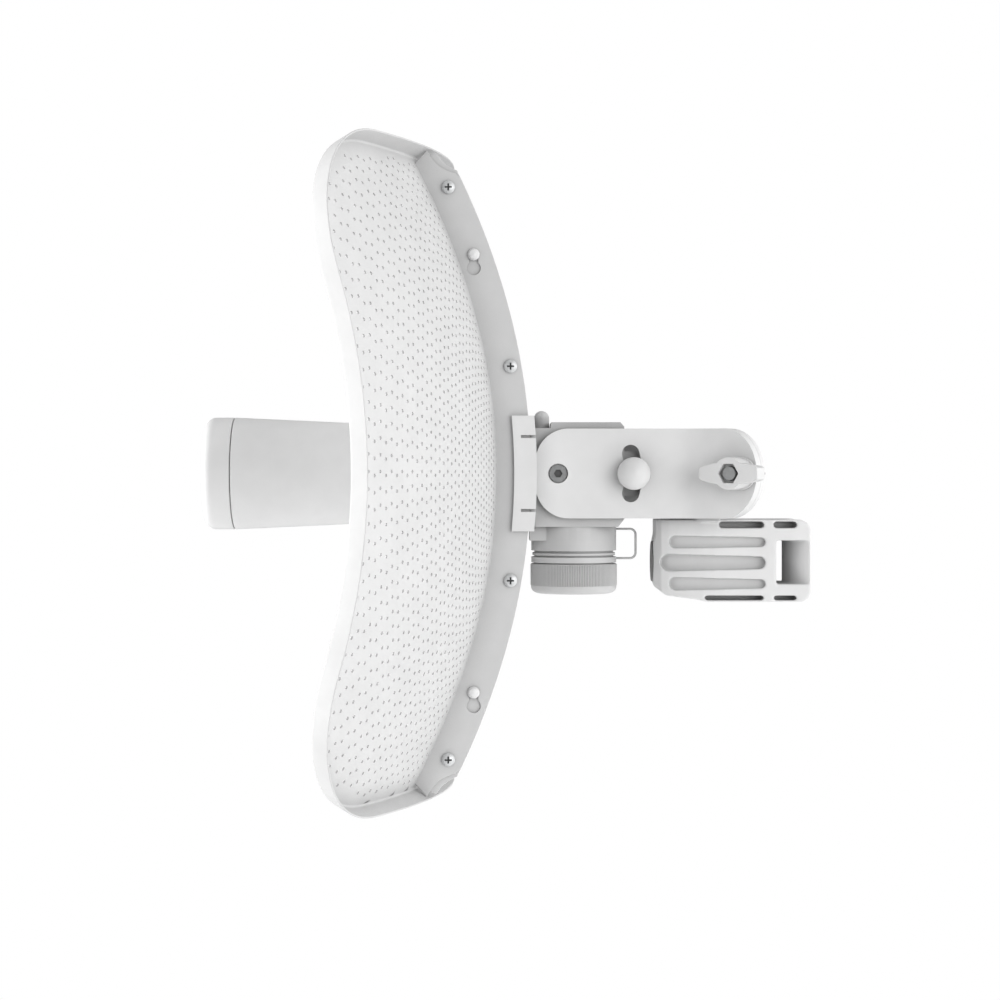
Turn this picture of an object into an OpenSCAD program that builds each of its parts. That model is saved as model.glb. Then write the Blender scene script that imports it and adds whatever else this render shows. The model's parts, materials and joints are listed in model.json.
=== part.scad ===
// Outdoor wireless bridge: a three-panel dish with a tube feed, a rear radio housing,
// a tilting yoke and a strap-on pole mount.
// Sub-parts are drawn about the elevation pivot: +X towards the pole, +Z up, the dish facing -X.
// from_pivot() then moves them so that the origin is on the pole axis at the seat's mid height.

/* [Dish] */
// Overall width across both wings
dish_w = 358; // [345:1:370]
// Overall height
dish_h = 272; // [266:1:284]
// Corner radius of the outline
dish_corner_r = 58; // [50:1:62]
// Focal length of the paraboloid
focal = 123; // [118:1:130]
// Half width of the middle panel
centre_half_w = 67.6; // [66:0.1:68]
// Depth of the rim lip
lip_depth = 9; // [5:0.5:10]
// Sheet thickness
sheet_t = 0.8; // [0.7:0.1:1]

/* [Feed] */
// Radius of the tube at the cap
feed_r = 25; // [24:0.5:26]
// Radius of the tube where it meets the dish
feed_root_r = 19.3; // [19:0.1:20]
// Distance of the cap's front from the pivot
feed_reach = 158.9; // [155:0.5:165]
// Length of the cap
feed_cap_len = 14.9; // [13:0.1:16]
// Wall of the tube and the cap
feed_wall = 1.8; // [1.5:0.1:2]

/* [Rear housing] */
// Half width of the housing
housing_half_w = 19.5; // [19.2:0.1:19.6]
// Height of its top above the pivot
housing_top = 22.6; // [22:0.1:24]
// Wall thickness
housing_wall = 2.2; // [1.8:0.1:2.2]
// Radius of the round cable compartment
drum_r = 19; // [18.6:0.1:19]
// Outer radius of the port neck
neck_r = 17.6; // [17.4:0.1:17.6]

/* [Yoke] */
// Half height of the arms
arm_half_h = 19.7; // [19:0.1:19.7]
// Thickness of the arms
arm_t = 3.4; // [3:0.1:3.4]
// Distance from the middle plane to an arm's outer face
arm_face = 23.5; // [23.5:0.1:24]
// Radius of the tilt slot about the pivot
slot_r = 33; // [32.8:0.1:33.2]
// Half sweep of the tilt slot, in degrees
slot_sweep = 15.5; // [15.5:0.5:17]
// Width of the tilt slot
slot_w = 7.6; // [7:0.1:8]
// Turn of the flared end, in degrees
flare = 30; // [28:1:30]

/* [Pole mount] */
// Distance from the elevation pivot to the pole axis
pivot_to_pole = 122.8; // [122:0.1:124]
// Height of the elevation pivot above the seat's middle
pivot_height = 38.5; // [38.3:0.1:39]
// Radius of the pole seat
pole_r = 20; // [19.8:0.1:20.2]
// Height of the mount's body
body_h = 36.2; // [35:0.1:36.2]
// Half width of the mount's body
body_half_w = 19; // [18.5:0.1:19]

/* [Hidden] */
$fn = 64;

// Dish
vertex_x = -18.1;        // apex of the reflecting face
flange_root = -12.5;     // back edge of the flanges at mid height
flange_bow = 523;        // the flanges' back edge falls away as z * z / flange_bow
flange_end_z = 126;
scoop_r = 16;            // hollow at each end of a flange
bowl_reach = 208;        // radius that the revolved sheet is drawn to
bowl_step = 13;
screw_spots = [[120.2, 7.1], [45, 4.7]];   // height, and distance in from the back edge
peg_z = 92;
peg_inset = 7.9;
peg_r = 1.9;
keyhole_r = 2.9;
keyhole_drop = 5.7;
m3_r = 1.5;
m3_head_r = 2.75;

// Cradle
cradle_half_h = 24.3;
cradle_back = -10;
cradle_plate_t = 2.2;
skirt_inner = centre_half_w + sheet_t + 0.1;
skirt_outer = skirt_inner + 1.7;
skirt_front = -19.5;
slit_z = 15.5;
slit_h = 1.25;
slit_start = -16.7;

// Feed
seam_x = -feed_reach + feed_cap_len;
spigot_r = 17;
spigot_end = -10.4;
shoulder_x = -19;
feed_board_half_h = 9;
feed_board_start = -148;
seal_r = 0.6;
spacer_x = -108;

// Housing
housing_back = 29.2;
housing_front = cradle_back;
drum_x = 7.5;
drum_bottom = -34.3;
neck_bottom = -50;
neck_bore_r = 15.2;
lug_end = 37.5;
lug_half_h = 9.8;
lug_half_w = 17.5;
lug_rib_end = 36.3;
lug_rib_half_h = 13.6;
latch_x = -6.9;
latch_r = 3.4;
latch_top = 28;
latch_stem_r = 2.6;
shelf_top = 11;
stem_bottom = 14.6;
link_hole_r = 10.3;
board_y = 8;
board_t = 1.6;
jack_w = 16;
jack_d = 13.5;
jack_top = -24;
jack_bottom = -42;
cap_r = 19.35;
cap_top = -40.1;
cap_bottom = -53.5;
cap_bore_r = 17.9;
tether_wire_r = 0.5;

// Tilt pivot and its hardware
arm_inner = arm_face - arm_t;
pivot_r = 2.5;
bush_r = 3.6;
run_gap = 0.06;
counterbore_r = 4.35;
counterbore_depth = 1.6;
tilt_bolt_r = 3;
washer_gap = 0.2;
washer_t = 0.8;
knob_r = 7.15;

// Yoke and the clamped joint
arm_front = -9.9;                 // the arms' ends, ahead of the pivot
arm_corner_r = 14.5;
web_x = 39.5;
web_t = 3;
web_half_h = 12;
bend_start = 53.5;
bend_r = 26;
bend_end_t = 5;
clamp_x = 79.3;                   // where the clamp bolt crosses the flared face
clamp_y = -arm_face - bend_r * (1 - cos(flare))
          - (clamp_x - bend_start - bend_r * sin(flare)) * tan(flare);
flare_half_w = 15.7;              // half axes of the oval end are this and arm_half_h
flare_tip = 7.2;                  // the oval's tip beyond the clamp bolt
head_gap = 0.3;
join = 0.4;                       // overlap that fuses two lengths of one moulding
head_t = 3.5;
m6_r = 3;

// Pole mount, in the pivot's frame
body_mid_z = -pivot_height;
body_top = body_mid_z + body_h / 2;
body_bottom = body_mid_z - body_h / 2;
body_front = 42.6;
body_full_x = 75;                 // the body reaches its full width here
body_front_half_w = 9.5;
seat_half_angle = 55;             // the seat covers twice this much of the pole
body_back = pivot_to_pole - pole_r * cos(seat_half_angle);
window_z0 = -48.7;
window_z1 = -29.5;
window_x = 96.2;
strap_r = pole_r + 2;
plug_r = 9;

module from_pivot() {
    translate([-pivot_to_pole, 0, pivot_height]) children();
}

// Cylinder along X from x0 to x1
module x_rod(x0, x1, r) {
    translate([x0, 0, 0]) rotate([0, 90, 0]) cylinder(h = x1 - x0, r = r);
}

// Cylinder along Y from y0 to y1
module y_rod(y0, y1, r) {
    translate([0, y0, 0]) rotate([-90, 0, 0]) cylinder(h = y1 - y0, r = r);
}

// Profile of [x, radius] points turned about the X axis
module turned_x(profile) {
    rotate([0, 90, 0]) rotate_extrude() polygon([for (p = profile) [p[1], p[0]]]);
}

// Profile of [y, radius] points turned about the Y axis
module turned_y(profile) {
    rotate([-90, 0, 0]) rotate_extrude() polygon([for (p = profile) [p[1], p[0]]]);
}

// Outline drawn in the XZ plane, made solid from y0 to y1
module side_slab(y0, y1) {
    translate([0, y1, 0]) rotate([90, 0, 0]) linear_extrude(y1 - y0) children();
}

// Outline drawn in the XY plane, made solid from z0 to z1
module plan_slab(z0, z1) {
    translate([0, 0, z0]) linear_extrude(z1 - z0) children();
}

module both_sides() {
    children();
    mirror([0, 1, 0]) children();
}

// Dish -------------------------------------------------------------------------------

function bowl_height(r) = r * r / (4 * focal);
function sheet_x(y, z) = vertex_x - bowl_height(norm([y, z]));
function flange_back(z) = flange_root - z * z / flange_bow;

// Solid between the reflecting face moved forward by ahead and moved back by depth
module bowl(depth, ahead = 0) {
    radii = [for (r = [0 : bowl_step : bowl_reach]) r];
    last = len(radii) - 1;
    translate([vertex_x, 0, 0]) rotate([0, -90, 0]) rotate_extrude($fn = 96)
        polygon(concat([for (r = radii) [r, bowl_height(r) + ahead]],
                       [for (i = [last : -1 : 0]) [radii[i], bowl_height(radii[i]) - depth]]));
}

// Rounded rectangle in the YZ plane, reduced by inset, long enough to cut the whole bowl
module outline_block(inset = 0) {
    w = dish_w / 2 - inset;
    h = dish_h / 2 - inset;
    r = dish_corner_r - inset;
    x0 = -130;
    long = 130;
    translate([x0, -w + r, -h]) cube([long, 2 * (w - r), 2 * h]);
    translate([x0, -w, -h + r]) cube([long, 2 * w, 2 * (h - r)]);
    for (sy = [-1, 1], sz = [-1, 1])
        translate([0, sy * (w - r), sz * (h - r)]) x_rod(x0, x0 + long, r);
}

// The pressed sheet with its rim lip
module dish_sheet() {
    intersection() {
        bowl(sheet_t);
        outline_block();
    }
    intersection() {
        bowl(lip_depth);
        difference() {
            outline_block();
            outline_block(sheet_t);
        }
    }
}

// Flat flange from y0 to y1 that joins a wing to the middle panel
module flange(y0, y1) {
    heights = [-flange_end_z : 9 : flange_end_z];
    side_slab(y0, y1) difference() {
        polygon(concat([for (z = heights) [sheet_x(y1, z) + sheet_t / 2, z]],
                       [for (z = heights) [flange_back(-z), -z]]));
        for (s = [-1, 1])
            translate([flange_back(flange_end_z) + 1.9, s * (flange_end_z + scoop_r)])
                circle(scoop_r);
    }
}

// Children placed at every flange screw on the +Y side, or at every peg
module at_screws() {
    for (spot = screw_spots, s = [-1, 1])
        translate([flange_back(spot[0]) - spot[1], 0, s * spot[0]]) children();
}

module at_pegs() {
    for (s = [-1, 1])
        translate([flange_back(peg_z) - peg_inset, 0, s * peg_z]) children();
}

module dish_centre() color("gainsboro") from_pivot() {
    y1 = centre_half_w;
    y0 = centre_half_w - sheet_t;
    difference() {
        intersection() {
            dish_sheet();
            translate([-130, -y1, -dish_h / 2]) cube([130, 2 * y1, dish_h]);
        }
        x_rod(-40, 0, spigot_r + 0.3);
    }
    both_sides() difference() {
        flange(y0, y1);
        at_screws() y_rod(y0 - 1, y1 + 1, m3_r);
        at_pegs() y_rod(y0 - 1, y1 + 1, peg_r);
    }
}

module wing() {
    y0 = centre_half_w;
    y1 = centre_half_w + sheet_t;
    intersection() {
        dish_sheet();
        translate([-130, y0, -dish_h / 2]) cube([130, dish_w, dish_h]);
    }
    difference() {
        flange(y0, y1);
        at_screws() y_rod(y0 - 1, y1 + 1, m3_r + 0.2);
        at_pegs() {
            y_rod(y0 - 1, y1 + 1, peg_r);
            translate([-peg_r, y0 - 1, -keyhole_drop]) cube([2 * peg_r, 3, keyhole_drop]);
            translate([0, 0, -keyhole_drop]) y_rod(y0 - 1, y1 + 1, keyhole_r);
        }
    }
}

module dish_wing_right() color("gainsboro") from_pivot() wing();

module dish_wing_left() color("gainsboro") from_pivot() mirror([0, 1, 0]) wing();

// Pan-head screws with a cross recess
module flange_screws() color("lightgrey") from_pivot() both_sides() at_screws() {
    seat = centre_half_w + sheet_t;
    head_h = 1.9;
    difference() {
        union() {
            turned_y([[seat, 0], [seat, m3_head_r], [seat + 0.9, m3_head_r], [seat + 1.5, 2.1],
                      [seat + head_h, 1], [seat + head_h, 0]]);
            y_rod(seat - 5, seat, m3_r);
        }
        for (turn = [0, 90])
            rotate([0, turn, 0]) translate([-1.5, seat + 0.8, -0.35]) cube([3, 2, 0.7]);
    }
}

module flange_nuts() color("darkgray") from_pivot() both_sides() at_screws() {
    face = centre_half_w - sheet_t;
    difference() {
        translate([0, face - 2.4, 0]) rotate([-90, 0, 0]) cylinder(h = 2.4, r = 3.1, $fn = 6);
        y_rod(face - 3, face + 1, m3_r);
    }
}

// Round-headed pegs riveted to the middle panel, which the wings' keyholes hang on
module hook_pegs() color("silver") from_pivot() both_sides() at_pegs() {
    inner = centre_half_w - sheet_t;
    seat = centre_half_w + sheet_t + 0.1;
    turned_y([[inner - 1.2, 0], [inner - 1.2, 2.8], [inner, 2.8], [inner, peg_r], [seat, peg_r],
              [seat, 2.55], [seat + 0.8, 2.5], [seat + 1.6, 1.8], [seat + 2, 0]]);
}

// Slits through one skirt, open at its back edge
module skirt_slits() for (s = [-1, 1])
    translate([slit_start, skirt_inner - 1.2, s * slit_z - slit_h / 2]) cube([20, 4, slit_h]);

// Moulded cradle behind the dish, with a slit skirt over each flange
module dish_cradle() color("whitesmoke") from_pivot() {
    heights = [-cradle_half_h : 8.1 : cradle_half_h];
    bow = function(z) z * z / flange_bow;
    // distance and width of the upright ribs; the two in the middle back the arms' pockets
    ribs = [[-45, 2], [-24.3, 5], [19.3, 5], [43, 2]];
    arm_room = 0.6;
    both_sides() difference() {
        side_slab(skirt_inner, skirt_outer)
            polygon(concat([for (z = heights) [skirt_front - bow(z), z]],
                           [for (z = heights) [cradle_back - bow(z), -z]]));
        skirt_slits();
    }
    difference() {
        union() {
            side_slab(-skirt_inner, skirt_inner)
                polygon(concat(
                    [for (z = heights) [cradle_back - cradle_plate_t - bow(z), z]],
                    [for (z = heights) [cradle_back - bow(z), -z]]));
            for (z = [-cradle_half_h, cradle_half_h - 2])
                translate([-30, -centre_half_w + 2, z])
                    cube([30 + cradle_back - cradle_plate_t, 2 * centre_half_w - 4, 2]);
            for (rib = ribs)
                translate([-30, rib[0], -cradle_half_h])
                    cube([30 + cradle_back - cradle_plate_t, rib[1], 2 * cradle_half_h]);
        }
        bowl(sheet_t + 0.05, 40);
        x_rod(-40, 0, spigot_r + 0.3);
        translate([cradle_back - 1.6, -6, -cradle_half_h - 1]) cube([5, 12, 5.4]);
        both_sides() {
            skirt_slits();
            translate([cradle_back - 1.9, arm_inner - arm_room, -cradle_half_h - 1])
                cube([5, arm_t + 2 * arm_room, 2 * cradle_half_h + 2]);
        }
    }
}

// Feed -------------------------------------------------------------------------------

module feed_tube() color("white") from_pivot() {
    turned_x([[seam_x, feed_r], [shoulder_x, feed_root_r], [shoulder_x, spigot_r],
              [spigot_end, spigot_r], [spigot_end, spigot_r - feed_wall],
              [shoulder_x - 2, spigot_r - feed_wall],
              [shoulder_x - 2, feed_root_r - feed_wall], [seam_x, feed_r - feed_wall]]);
}

module feed_cap() color("white") from_pivot() {
    edge_r = 4.5;
    front = -feed_reach;
    lip_r = feed_r - feed_wall - 0.3;
    seal_x = seam_x + 2;
    difference() {
        turned_x(concat(
            [[front, 0], [front + 0.2, feed_r - edge_r - 6]],
            [for (a = [0 : 15 : 90])
                [front + 0.6 + edge_r * (1 - cos(a)), feed_r - edge_r * (1 - sin(a))]],
            [[seam_x, feed_r], [seam_x, lip_r], [seam_x + 4, lip_r], [seam_x + 4, lip_r - 1.5],
             [seam_x - 4, lip_r - 1.5], [front + 5, feed_r - 7], [front + 2.2, feed_r - 9],
             [front + 2.2, 0]]));
        rotate([0, 90, 0]) translate([0, 0, seal_x]) rotate_extrude()
            translate([feed_r - feed_wall - 0.1 - seal_r, 0]) circle(seal_r, $fn = 24);
    }
}

module feed_seal() color("dimgray") from_pivot()
    rotate([0, 90, 0]) translate([0, 0, seam_x + 2]) rotate_extrude()
        translate([feed_r - feed_wall - 0.1 - seal_r, 0]) circle(seal_r, $fn = 24);

module subreflector() color("silver") from_pivot()
    turned_x([[feed_board_start - 4, 0], [feed_board_start - 2, 20], [feed_board_start - 1.2, 20],
              [feed_board_start - 2.8, 4], [feed_board_start, 4], [feed_board_start, 0]]);

module feed_board() color("darkgreen") from_pivot()
    translate([feed_board_start, -board_t / 2, -feed_board_half_h])
        cube([-8 - feed_board_start, board_t, 2 * feed_board_half_h]);

// Ring that centres the feed board in the tube
module feed_spacer() color("ivory") from_pivot() {
    taper = (feed_r - feed_root_r) / (shoulder_x - seam_x);
    ring_r = feed_r - feed_wall - taper * (spacer_x + 4 - seam_x) - 0.1;
    difference() {
        x_rod(spacer_x, spacer_x + 4, ring_r);
        for (s = [-1, 1])
            translate([0, s * 10, 0]) x_rod(spacer_x - 1, spacer_x + 5, 6.5);
        translate([spacer_x - 1, -board_t / 2, -feed_board_half_h])
            cube([6, board_t, 2 * feed_board_half_h]);
    }
}

// Radio ------------------------------------------------------------------------------

// Connector that joins the feed board to the radio board
module board_link() color("black") from_pivot()
    translate([-16, board_t / 2, -6]) cube([12, board_y - board_t / 2, 12]);

module radio_board() color("darkgreen") from_pivot() {
    neck_z = -20;
    translate([-5.5, board_y, neck_z]) cube([31, board_t, 13 - neck_z]);
    translate([drum_x - 10.5, board_y, jack_bottom]) cube([21, board_t, neck_z - jack_bottom]);
}

module rf_shield() color("silver") from_pivot() {
    wall = 0.5;
    translate([0, 3.5, -19]) difference() {
        cube([21, board_y - 3.5, 28]);
        translate([wall, wall, wall]) cube([21 - 2 * wall, board_y, 28 - 2 * wall]);
    }
}

// Socket that opens downwards
module ethernet_jack() color("silver") from_pivot() {
    x0 = drum_x - jack_d / 2;
    difference() {
        translate([x0, board_y - jack_w, jack_bottom]) cube([jack_d, jack_w, jack_top - jack_bottom]);
        translate([x0 + 2.5, board_y - jack_w / 2 - 5.9, jack_bottom - 1]) cube([8.4, 11.8, 14]);
    }
}

module reset_switch() color("dimgray") from_pivot() difference() {
    translate([14.6, board_y - 4, -41]) cube([3.6, 4, 7]);
    translate([16.4, board_y - 2, -42]) cylinder(h = 6, r = 1.3 + run_gap);
}

module reset_button() color("black") from_pivot()
    translate([16.4, board_y - 2, -42.4]) cylinder(h = 5.6, r = 1.3);

// Housing ----------------------------------------------------------------------------

module housing_skin(inset = 0) {
    w = housing_half_w - inset;
    front = housing_front + inset;
    back = housing_back - inset;
    top = housing_top - inset;
    step_z = 20 - inset;
    side_slab(-w, w)
        polygon([[front, step_z], [-3.3 + inset, step_z], [-2.8 + inset, top], [back - 1.7, top],
                 [back, top - 2], [back, -20.1], [back - 2.7, -23.5], [front, -23.5]]);
    side_slab(-14.3 + inset, 14.3 - inset)
        polygon([[front, -20], [front, -24.6], [-12.4 + inset, -24.6 - inset],
                 [-12.4 + inset, -29.7 + inset], [drum_x, -29.7 + inset], [drum_x, -20]]);
    translate([drum_x, 0, drum_bottom + inset]) cylinder(h = -20 - drum_bottom, r = drum_r - inset);
}

module rear_housing() color("gainsboro") from_pivot() {
    boss_y = 11;
    difference() {
        union() {
            difference() {
                union() {
                    housing_skin();
                    translate([drum_x, 0, neck_bottom])
                        cylinder(h = drum_bottom - neck_bottom + 1, r = neck_r);
                }
                housing_skin(housing_wall);
                translate([drum_x, 0, neck_bottom - 1])
                    cylinder(h = drum_bottom - neck_bottom + 5, r = neck_bore_r);
                x_rod(-20, 0, link_hole_r);
            }
            both_sides() y_rod(boss_y, housing_half_w - 1, 6);
            translate([housing_back - 1, -lug_half_w, -lug_half_h])
                cube([lug_end - housing_back + 1, 2 * lug_half_w, 2 * lug_half_h]);
            translate([housing_back - 1, -8, -lug_rib_half_h])
                cube([lug_rib_end - housing_back + 1, 16, 2 * lug_rib_half_h]);
            translate([housing_front + 1, -4, shelf_top - 1.4]) cube([6.4, 8, 1.4]);
        }
        both_sides() y_rod(boss_y - 1, housing_half_w + 1, 4);
        translate([slot_r, 0, 0]) y_rod(-20, 20, tilt_bolt_r);
        translate([latch_x, 0, 16]) cylinder(h = 10, r = latch_r + 0.1);
        translate([latch_x, 0, shelf_top + 0.01]) cylinder(h = 10, r = latch_stem_r + 0.3);
    }
}

// Domed latch that frees the housing from the feed when it is pressed
module latch_button() color("darkgray") from_pivot() translate([latch_x, 0, 0]) {
    dome_z = latch_top - latch_r;
    translate([0, 0, stem_bottom]) cylinder(h = 4, r = latch_stem_r);
    translate([0, 0, 18]) cylinder(h = dome_z - 18, r = latch_r);
    intersection() {
        translate([0, 0, dome_z]) sphere(latch_r);
        translate([0, 0, dome_z]) cylinder(h = latch_r + 1, r = latch_r + 1);
    }
}

// Compression spring under the latch
module latch_spring() color("silver") from_pivot() {
    turns = 3;
    sides = 6;
    rings = turns * 16;
    coil_r = 2;
    wire_r = 0.25;
    z0 = shelf_top + wire_r;
    rise = stem_bottom - shelf_top - 2 * wire_r;
    ring_point = function(i, k)
        let (a = 360 * turns * i / rings, b = 360 * k / sides, r = coil_r + wire_r * cos(b))
        [latch_x + r * cos(a), r * sin(a), z0 + rise * i / rings + wire_r * sin(b)];
    polyhedron(
        points = [for (i = [0 : rings], k = [0 : sides - 1]) ring_point(i, k)],
        faces = concat(
            [[for (k = [0 : sides - 1]) k]],
            [for (i = [0 : rings - 1], k = [0 : sides - 1])
                [i * sides + k, (i + 1) * sides + k, (i + 1) * sides + (k + 1) % sides,
                 i * sides + (k + 1) % sides]],
            [[for (k = [sides - 1 : -1 : 0]) rings * sides + k]]));
}

module neck_ring(z0, z1, r) {
    translate([drum_x, 0, z0]) difference() {
        cylinder(h = z1 - z0, r = r);
        translate([0, 0, -1]) cylinder(h = z1 - z0 + 2, r = neck_r);
    }
}

module neck_gasket() color("lightgrey") from_pivot() neck_ring(-36.5, -35.2, 18.5);

// Ring round the neck with a wire loop up to the housing
module cap_tether() color("darkgray") from_pivot() {
    top_z = -24.8;
    low_z = -37.9;
    far_x = 35.2;
    bend = 2.5;
    neck_ring(-39.6, -37.2, 19);
    for (run = [[25.6, top_z], [26, low_z]])
        translate([0, 0, run[1]]) x_rod(run[0], far_x - bend, tether_wire_r);
    translate([far_x, 0, low_z + bend]) cylinder(h = top_z - low_z - 2 * bend, r = tether_wire_r);
    translate([far_x - bend, 0, top_z - bend]) rotate([90, 0, 0])
        rotate_extrude(angle = 90) translate([bend, 0]) circle(tether_wire_r, $fn = 24);
    translate([far_x - bend, 0, low_z + bend]) rotate([90, 0, 0]) rotate([0, 0, -90])
        rotate_extrude(angle = 90) translate([bend, 0]) circle(tether_wire_r, $fn = 24);
}

module port_cap() color("darkgray") from_pivot() translate([drum_x, 0, 0])
    rotate_extrude()
        polygon([[0, cap_bottom], [15, cap_bottom], [17.6, cap_bottom + 0.8],
                 [19, cap_bottom + 2.6], [cap_r, cap_bottom + 3.8], [cap_r, cap_top],
                 [cap_bore_r, cap_top], [cap_bore_r, cap_bottom + 2.2], [0, cap_bottom + 2.2]]);

// Flat seal that closes on the neck's end
module cap_seal() color("dimgray") from_pivot()
    translate([drum_x, 0, cap_bottom + 2.25]) difference() {
        cylinder(h = 1.1, r = cap_bore_r - 0.1);
        translate([0, 0, -1]) cylinder(h = 4, r = 14);
    }

// Yoke -------------------------------------------------------------------------------

module pivot_inserts() color("gold") from_pivot() both_sides() difference() {
    y_rod(11, housing_half_w, 4);
    y_rod(10, 21, pivot_r);
}

// Socket-head screws in the arms' counterbores
module pivot_screws() color("dimgray") from_pivot() both_sides() {
    seat = arm_face - counterbore_depth + 0.05;
    difference() {
        union() {
            y_rod(12, seat, pivot_r);
            y_rod(seat, arm_face - 0.2, 3.75);
        }
        translate([0, seat + 0.2, 0]) rotate([-90, 0, 0]) cylinder(h = 3, r = 1.9, $fn = 6);
    }
}

module pivot_bushes() color("silver") from_pivot() both_sides() difference() {
    y_rod(arm_inner, arm_face - counterbore_depth, bush_r);
    y_rod(arm_inner - 1, arm_face, pivot_r + run_gap);
}

// Slot that follows the tilt bolt round the pivot
module tilt_slot() {
    w = slot_w / 2;
    reach = slot_r + slot_w;
    intersection() {
        difference() {
            circle(slot_r + w, $fn = 128);
            circle(slot_r - w, $fn = 128);
        }
        polygon([[0, 0], [reach, -reach * tan(slot_sweep)], [reach, reach * tan(slot_sweep)]]);
    }
    for (s = [-1, 1])
        rotate(s * slot_sweep) translate([slot_r, 0]) circle(w);
}

// Bores and slot of one arm, on the +Y side
module arm_cuts() {
    y_rod(arm_inner - 1, arm_face + 1, bush_r);
    y_rod(arm_face - counterbore_depth, arm_face + 1, counterbore_r);
    side_slab(arm_inner - 1, arm_face + 1) tilt_slot();
}

// Flat arm on the +Y side from its rounded end to x1
module flat_arm(x1) {
    corner_x = arm_front + arm_corner_r;
    corner_z = arm_half_h - arm_corner_r;
    side_slab(arm_inner, arm_face) {
        for (s = [-1, 1])
            translate([corner_x, s * corner_z]) circle(arm_corner_r);
        translate([arm_front, -corner_z]) square([arm_corner_r, 2 * corner_z]);
        translate([corner_x, -arm_half_h]) square([x1 - corner_x, 2 * arm_half_h]);
    }
}

// Moves to the clamped joint: the local XZ plane is the arm's flared face, +Y goes inwards
module at_clamp() {
    translate([clamp_x, clamp_y, 0]) rotate([0, 0, -flare]) children();
}

// Oval end of the arm or of the mount's head, from local x0 to the tip
module oval_plate(y0, y1, x0) {
    centre = flare_tip - flare_half_w;
    side_slab(y0, y1)
        polygon(concat([[x0, -arm_half_h]],
                       [for (a = [-90 : 7.5 : 90])
                           [centre + flare_half_w * cos(a), arm_half_h * sin(a)]],
                       [[x0, arm_half_h]]));
}

module elevation_yoke() color("whitesmoke") from_pivot() {
    bend_x = -(clamp_x - bend_start - bend_r * sin(flare)) / cos(flare) - join;
    difference() {
        union() {
            flat_arm(web_x + web_t);
            mirror([0, 1, 0]) flat_arm(bend_start + join);
            translate([web_x, -arm_inner - join, -web_half_h])
                cube([web_t, 2 * (arm_inner + join), 2 * web_half_h]);
            plan_slab(-arm_half_h, arm_half_h)
                polygon(concat(
                    [for (a = [0 : flare / 6 : flare])
                        [bend_start + bend_r * sin(a), -arm_face - bend_r * (1 - cos(a))]],
                    [for (a = [flare : -flare / 6 : 0])
                        let (t = arm_t + (bend_end_t - arm_t) * a / flare)
                        [bend_start + (bend_r + t) * sin(a),
                         -arm_face - bend_r + (bend_r + t) * cos(a)]]));
            at_clamp() oval_plate(0, bend_end_t, bend_x);
        }
        both_sides() arm_cuts();
        at_clamp() y_rod(-1, bend_end_t + 1, m6_r + run_gap);
    }
}

module tilt_bolt() color("silver") from_pivot() translate([slot_r, 0, 0]) {
    head = arm_face + washer_gap + washer_t;
    translate([0, head, 0]) rotate([-90, 0, 0]) cylinder(h = 4, r = 5.8, $fn = 6);
    y_rod(-head - 7, head, tilt_bolt_r);
}

module tilt_washers() color("silver") from_pivot() both_sides() translate([slot_r, 0, 0])
    difference() {
        y_rod(arm_face + washer_gap, arm_face + washer_gap + washer_t, 6.3);
        y_rod(arm_face, arm_face + 2, tilt_bolt_r);
    }

// Ball-topped knob on the near end of the tilt bolt
module tilt_knob() color("white") from_pivot() translate([slot_r, 0, 0]) mirror([0, 1, 0]) {
    seat = arm_face + 2 * washer_gap + washer_t;
    rim = seat + 4;
    turned_y(concat(
        [[seat, tilt_bolt_r + run_gap], [seat, knob_r - 0.8], [seat + 0.8, knob_r]],
        [for (a = [0 : 15 : 90]) [rim + knob_r * sin(a), knob_r * cos(a)]],
        [[rim + 3.4, 0], [rim + 3.4, tilt_bolt_r + run_gap]]));
}

// Pole mount -------------------------------------------------------------------------

// Half width of the body at x, as seen from above
function body_width_at(x) = x >= body_full_x ? body_half_w :
    let (short = (body_full_x - x) / (body_full_x - body_front))
    body_front_half_w + (body_half_w - body_front_half_w) * sqrt(1 - pow(short, 2));

// The body seen from above, with its sides drawn in by inset
module body_plan(inset = 0) {
    step = (body_full_x - body_front) / 10;
    xs = concat([for (i = [0 : 10]) body_front + i * step], [body_back]);
    last = len(xs) - 1;
    polygon(concat([for (x = xs) [x, inset - body_width_at(x)]],
                   [for (i = [last : -1 : 0]) [xs[i], body_width_at(xs[i]) - inset]]));
}

module body_side() {
    polygon([[body_back, body_top - 4], [body_back - 1.2, body_top - 1.4],
             [body_back - 4, body_top], [43.5, body_top], [43.5, -27], [body_front, -31],
             [body_front, -47.7], [44.2, -51], [48, -54], [60.5, -55.5], [65.5, body_bottom],
             [body_back - 4, body_bottom], [body_back - 1.2, body_bottom + 1.4],
             [body_back, body_bottom + 4]]);
}

// Long pocket with round ends, tapering from half height h1 at x1 to h0 at x0
module flute(z, x0, x1, h0, h1) {
    translate([x0 + h0, z]) circle(h0);
    translate([x1 - h1, z]) circle(h1);
    polygon([[x0 + h0, z - h0], [x1 - h1, z - h1], [x1 - h1, z + h1], [x0 + h0, z + h0]]);
}

// Pocket from x0 to x1 and from z0 to z1 with cut corners
module edge_pocket(x0, x1, z0, z1) {
    cut = 0.9;
    polygon([[x0 + cut, z0], [x1 - cut, z0], [x1, z0 + cut], [x1, z1 - cut],
             [x1 - cut, z1], [x0 + cut, z1], [x0, z1 - cut], [x0, z0 + cut]]);
}

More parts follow.
